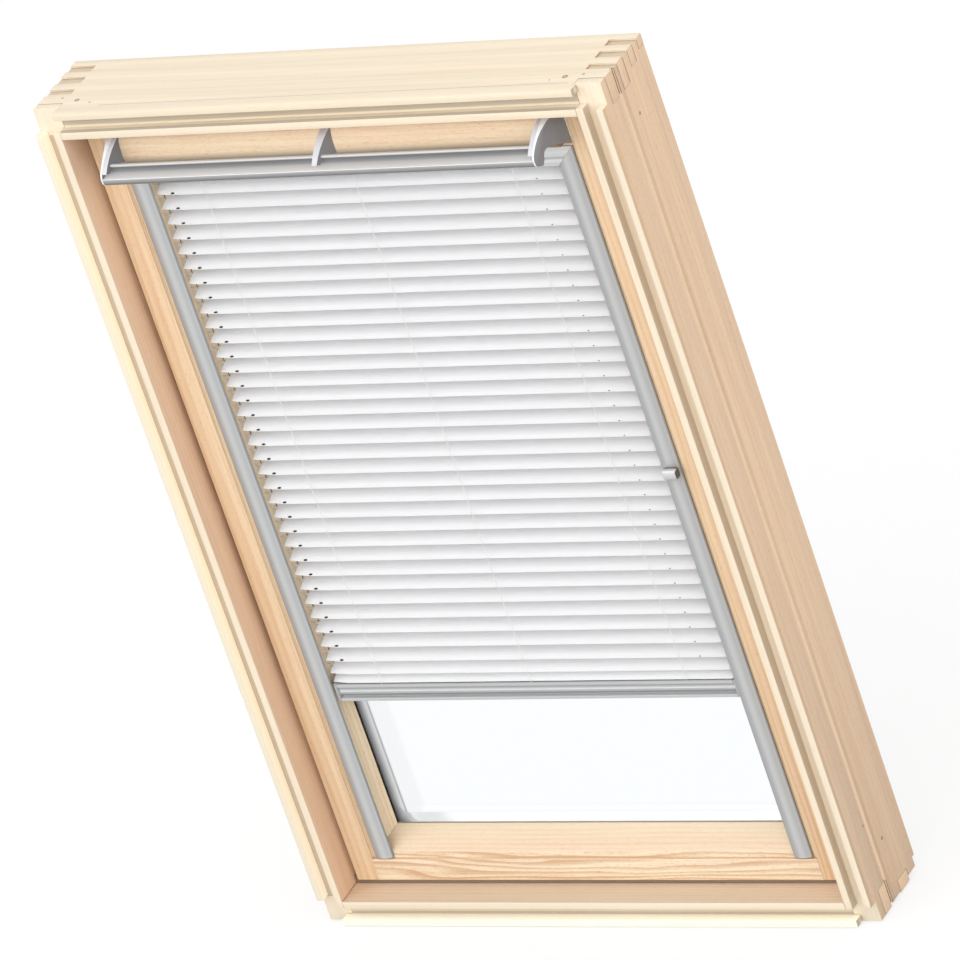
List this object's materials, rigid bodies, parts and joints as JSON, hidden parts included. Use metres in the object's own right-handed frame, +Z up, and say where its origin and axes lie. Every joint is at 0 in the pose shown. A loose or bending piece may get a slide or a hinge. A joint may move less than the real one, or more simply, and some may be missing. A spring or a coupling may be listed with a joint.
{
  "type": "centre-pivot roof window with a venetian blind",
  "caption": "Pine centre-pivot roof window with a top control bar and vent flap, and a white venetian blind that runs in side channels in front of the insulating glass.",
  "frame": {"origin": "middle of the sill's flat bottom face, in the plane of the corner blocks' front faces", "axes": "X runs across the window, to the right as seen from the room, +Z up its slope, +Y outdoors, and the room is at -Y"},
  "size_m": [0.78, 0.157, 1.178],
  "materials": {
    "pine": "clear lacquer",
    "clear_glass": "polished",
    "satin_aluminium": "anodised satin",
    "grey_plastic": "moulded",
    "white_lacquer": "satin lacquer",
    "zinc_steel": "zinc plated",
    "white_cord": "braided",
    "spacer_grey": "mill finish"
  },
  "bodies": {
    "frame": {"frame_side_left": "pine", "frame_side_right": "pine", "frame_head": "pine", "frame_sill": "pine"},
    "sash": {"sash_side_left": "pine", "sash_side_right": "pine", "sash_bottom_rail": "pine", "sash_top_rail": "pine", "glass_inner_pane": "clear_glass", "glass_outer_pane": "clear_glass", "glass_spacer": "spacer_grey", "pivot_left": "zinc_steel", "pivot_right": "zinc_steel", "side_channel_left": "satin_aluminium", "side_channel_right": "satin_aluminium", "blind_head_rail": "white_lacquer", "ladder_left": "white_cord", "ladder_middle": "white_cord", "ladder_right": "white_cord"},
    "vent": {"vent_flap": "pine", "control_bar": "satin_aluminium", "vent_bracket_left": "grey_plastic", "vent_bracket_middle": "grey_plastic", "vent_bracket_right": "grey_plastic"},
    "tilt_rod": {"tilt_rod": "zinc_steel"},
    "tilt_slider": {"tilt_slider": "grey_plastic"},
    "bottom_rail": {"blind_bottom_rail": "satin_aluminium"},
    "slat_01": {"slat_01": "white_lacquer"},
    "slat_02": {"slat_02": "white_lacquer"},
    "slat_03": {"slat_03": "white_lacquer"},
    "slat_04": {"slat_04": "white_lacquer"},
    "slat_05": {"slat_05": "white_lacquer"},
    "slat_06": {"slat_06": "white_lacquer"},
    "slat_07": {"slat_07": "white_lacquer"},
    "slat_08": {"slat_08": "white_lacquer"},
    "slat_09": {"slat_09": "white_lacquer"},
    "slat_10": {"slat_10": "white_lacquer"},
    "slat_11": {"slat_11": "white_lacquer"},
    "slat_12": {"slat_12": "white_lacquer"},
    "slat_13": {"slat_13": "white_lacquer"},
    "slat_14": {"slat_14": "white_lacquer"},
    "slat_15": {"slat_15": "white_lacquer"},
    "slat_16": {"slat_16": "white_lacquer"},
    "slat_17": {"slat_17": "white_lacquer"},
    "slat_18": {"slat_18": "white_lacquer"},
    "slat_19": {"slat_19": "white_lacquer"},
    "slat_20": {"slat_20": "white_lacquer"},
    "slat_21": {"slat_21": "white_lacquer"},
    "slat_22": {"slat_22": "white_lacquer"},
    "slat_23": {"slat_23": "white_lacquer"},
    "slat_24": {"slat_24": "white_lacquer"},
    "slat_25": {"slat_25": "white_lacquer"},
    "slat_26": {"slat_26": "white_lacquer"},
    "slat_27": {"slat_27": "white_lacquer"},
    "slat_28": {"slat_28": "white_lacquer"},
    "slat_29": {"slat_29": "white_lacquer"},
    "slat_30": {"slat_30": "white_lacquer"},
    "slat_31": {"slat_31": "white_lacquer"},
    "slat_32": {"slat_32": "white_lacquer"},
    "slat_33": {"slat_33": "white_lacquer"}
  },
  "joints": [
    {"name": "sash_pivot", "type": "hinge", "parent": "frame", "child": "sash", "pos_m": [0, 0.05, 0.589], "axis": [1, 0, 0], "range_deg": [0, 160]},
    {"name": "vent_bar", "type": "hinge", "parent": "sash", "child": "vent", "pos_m": [0, 0.019, 1.088], "axis": [1, 0, 0], "range_deg": [0, 35]},
    {"name": "blind_rail", "type": "slide", "parent": "sash", "child": "bottom_rail", "axis": [0, 0, 1], "range_m": [0, 0.6315], "deforming": ["ladder_left", "ladder_middle", "ladder_right"]},
    {"name": "tilt_rod_turn", "type": "hinge", "parent": "sash", "child": "tilt_rod", "pos_m": [0, 0.0365, 1.06945], "axis": [1, 0, 0], "range_deg": [-60, 60]},
    {"name": "tilt_slide", "type": "slide", "parent": "sash", "child": "tilt_slider", "axis": [0, 0, 1], "range_m": [-0.0295, 0.0295]},
    {"name": "slat_01_slide", "type": "slide", "parent": "sash", "child": "slat_01", "axis": [0, 0, 1], "range_m": [0, 0.008]},
    {"name": "slat_02_slide", "type": "slide", "parent": "sash", "child": "slat_02", "axis": [0, 0, 1], "range_m": [0, 0.02695]},
    {"name": "slat_03_slide", "type": "slide", "parent": "sash", "child": "slat_03", "axis": [0, 0, 1], "range_m": [0, 0.0459]},
    {"name": "slat_04_slide", "type": "slide", "parent": "sash", "child": "slat_04", "axis": [0, 0, 1], "range_m": [0, 0.06485]},
    {"name": "slat_05_slide", "type": "slide", "parent": "sash", "child": "slat_05", "axis": [0, 0, 1], "range_m": [0, 0.0838]},
    {"name": "slat_06_slide", "type": "slide", "parent": "sash", "child": "slat_06", "axis": [0, 0, 1], "range_m": [0, 0.10275]},
    {"name": "slat_07_slide", "type": "slide", "parent": "sash", "child": "slat_07", "axis": [0, 0, 1], "range_m": [0, 0.1217]},
    {"name": "slat_08_slide", "type": "slide", "parent": "sash", "child": "slat_08", "axis": [0, 0, 1], "range_m": [0, 0.14065]},
    {"name": "slat_09_slide", "type": "slide", "parent": "sash", "child": "slat_09", "axis": [0, 0, 1], "range_m": [0, 0.1596]},
    {"name": "slat_10_slide", "type": "slide", "parent": "sash", "child": "slat_10", "axis": [0, 0, 1], "range_m": [0, 0.17855]},
    {"name": "slat_11_slide", "type": "slide", "parent": "sash", "child": "slat_11", "axis": [0, 0, 1], "range_m": [0, 0.1975]},
    {"name": "slat_12_slide", "type": "slide", "parent": "sash", "child": "slat_12", "axis": [0, 0, 1], "range_m": [0, 0.21645]},
    {"name": "slat_13_slide", "type": "slide", "parent": "sash", "child": "slat_13", "axis": [0, 0, 1], "range_m": [0, 0.2354]},
    {"name": "slat_14_slide", "type": "slide", "parent": "sash", "child": "slat_14", "axis": [0, 0, 1], "range_m": [0, 0.25435]},
    {"name": "slat_15_slide", "type": "slide", "parent": "sash", "child": "slat_15", "axis": [0, 0, 1], "range_m": [0, 0.2733]},
    {"name": "slat_16_slide", "type": "slide", "parent": "sash", "child": "slat_16", "axis": [0, 0, 1], "range_m": [0, 0.29225]},
    {"name": "slat_17_slide", "type": "slide", "parent": "sash", "child": "slat_17", "axis": [0, 0, 1], "range_m": [0, 0.3112]},
    {"name": "slat_18_slide", "type": "slide", "parent": "sash", "child": "slat_18", "axis": [0, 0, 1], "range_m": [0, 0.33015]},
    {"name": "slat_19_slide", "type": "slide", "parent": "sash", "child": "slat_19", "axis": [0, 0, 1], "range_m": [0, 0.3491]},
    {"name": "slat_20_slide", "type": "slide", "parent": "sash", "child": "slat_20", "axis": [0, 0, 1], "range_m": [0, 0.36805]},
    {"name": "slat_21_slide", "type": "slide", "parent": "sash", "child": "slat_21", "axis": [0, 0, 1], "range_m": [0, 0.387]},
    {"name": "slat_22_slide", "type": "slide", "parent": "sash", "child": "slat_22", "axis": [0, 0, 1], "range_m": [0, 0.40595]},
    {"name": "slat_23_slide", "type": "slide", "parent": "sash", "child": "slat_23", "axis": [0, 0, 1], "range_m": [0, 0.4249]},
    {"name": "slat_24_slide", "type": "slide", "parent": "sash", "child": "slat_24", "axis": [0, 0, 1], "range_m": [0, 0.44385]},
    {"name": "slat_25_slide", "type": "slide", "parent": "sash", "child": "slat_25", "axis": [0, 0, 1], "range_m": [0, 0.4628]},
    {"name": "slat_26_slide", "type": "slide", "parent": "sash", "child": "slat_26", "axis": [0, 0, 1], "range_m": [0, 0.48175]},
    {"name": "slat_27_slide", "type": "slide", "parent": "sash", "child": "slat_27", "axis": [0, 0, 1], "range_m": [0, 0.5007]},
    {"name": "slat_28_slide", "type": "slide", "parent": "sash", "child": "slat_28", "axis": [0, 0, 1], "range_m": [0, 0.51965]},
    {"name": "slat_29_slide", "type": "slide", "parent": "sash", "child": "slat_29", "axis": [0, 0, 1], "range_m": [0, 0.5386]},
    {"name": "slat_30_slide", "type": "slide", "parent": "sash", "child": "slat_30", "axis": [0, 0, 1], "range_m": [0, 0.55755]},
    {"name": "slat_31_slide", "type": "slide", "parent": "sash", "child": "slat_31", "axis": [0, 0, 1], "range_m": [0, 0.5765]},
    {"name": "slat_32_slide", "type": "slide", "parent": "sash", "child": "slat_32", "axis": [0, 0, 1], "range_m": [0, 0.59545]},
    {"name": "slat_33_slide", "type": "slide", "parent": "sash", "child": "slat_33", "axis": [0, 0, 1], "range_m": [0, 0.6144]}
  ],
  "couplings": [
    {"joint": "tilt_rod_turn", "follows": "tilt_slide", "rad_per_m": 35},
    {"joint": "slat_01_slide", "follows": "blind_rail", "ratio": 0.012352},
    {"joint": "slat_02_slide", "follows": "blind_rail", "ratio": 0.042359},
    {"joint": "slat_03_slide", "follows": "blind_rail", "ratio": 0.072367},
    {"joint": "slat_04_slide", "follows": "blind_rail", "ratio": 0.10237},
    {"joint": "slat_05_slide", "follows": "blind_rail", "ratio": 0.13238},
    {"joint": "slat_06_slide", "follows": "blind_rail", "ratio": 0.16239},
    {"joint": "slat_07_slide", "follows": "blind_rail", "ratio": 0.1924},
    {"joint": "slat_08_slide", "follows": "blind_rail", "ratio": 0.22241},
    {"joint": "slat_09_slide", "follows": "blind_rail", "ratio": 0.25242},
    {"joint": "slat_10_slide", "follows": "blind_rail", "ratio": 0.28242},
    {"joint": "slat_11_slide", "follows": "blind_rail", "ratio": 0.31243},
    {"joint": "slat_12_slide", "follows": "blind_rail", "ratio": 0.34244},
    {"joint": "slat_13_slide", "follows": "blind_rail", "ratio": 0.37245},
    {"joint": "slat_14_slide", "follows": "blind_rail", "ratio": 0.40245},
    {"joint": "slat_15_slide", "follows": "blind_rail", "ratio": 0.43246},
    {"joint": "slat_16_slide", "follows": "blind_rail", "ratio": 0.46247},
    {"joint": "slat_17_slide", "follows": "blind_rail", "ratio": 0.49248},
    {"joint": "slat_18_slide", "follows": "blind_rail", "ratio": 0.52249},
    {"joint": "slat_19_slide", "follows": "blind_rail", "ratio": 0.55249},
    {"joint": "slat_20_slide", "follows": "blind_rail", "ratio": 0.5825},
    {"joint": "slat_21_slide", "follows": "blind_rail", "ratio": 0.61251},
    {"joint": "slat_22_slide", "follows": "blind_rail", "ratio": 0.64252},
    {"joint": "slat_23_slide", "follows": "blind_rail", "ratio": 0.67253},
    {"joint": "slat_24_slide", "follows": "blind_rail", "ratio": 0.70253},
    {"joint": "slat_25_slide", "follows": "blind_rail", "ratio": 0.73254},
    {"joint": "slat_26_slide", "follows": "blind_rail", "ratio": 0.76255},
    {"joint": "slat_27_slide", "follows": "blind_rail", "ratio": 0.79256},
    {"joint": "slat_28_slide", "follows": "blind_rail", "ratio": 0.82256},
    {"joint": "slat_29_slide", "follows": "blind_rail", "ratio": 0.85257},
    {"joint": "slat_30_slide", "follows": "blind_rail", "ratio": 0.88258},
    {"joint": "slat_31_slide", "follows": "blind_rail", "ratio": 0.91259},
    {"joint": "slat_32_slide", "follows": "blind_rail", "ratio": 0.9426},
    {"joint": "slat_33_slide", "follows": "blind_rail", "ratio": 0.97261}
  ]
}
